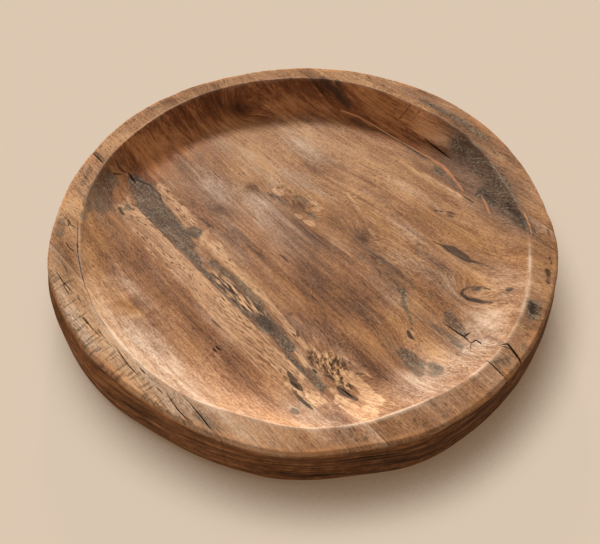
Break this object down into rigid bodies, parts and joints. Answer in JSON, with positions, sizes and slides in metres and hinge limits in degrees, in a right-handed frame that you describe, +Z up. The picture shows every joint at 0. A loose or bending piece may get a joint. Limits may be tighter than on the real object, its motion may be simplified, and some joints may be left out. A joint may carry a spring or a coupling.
{
  "type": "dough bowl",
  "caption": "Shallow round wooden dough bowl with a flat rim and a gently dished well, glued up from boards edge to edge, with a small block let into the rim.",
  "frame": {"origin": "middle of the flat base, on the surface that the bowl stands on", "axes": "+X along the grain of the boards, +Y across the boards towards the narrow dark strip, +Z up out of the well"},
  "size_m": [0.427, 0.413, 0.057],
  "materials": {
    "weathered_wood": "dry and weathered, with open checks",
    "tan_wood": "oiled, satin",
    "spalted_wood": "oiled, satin, with grey stains",
    "brown_wood": "oiled, satin",
    "dark_wood": "oiled, satin",
    "red_brown_wood": "oiled, satin",
    "patch_wood": "worn, with open pores"
  },
  "bodies": {
    "root": {"left_edge_board": "weathered_wood", "left_board": "tan_wood", "centre_board": "spalted_wood", "right_board": "brown_wood", "dark_strip": "dark_wood", "right_edge_board": "red_brown_wood", "rim_patch": "patch_wood"}
  },
  "joints": []
}
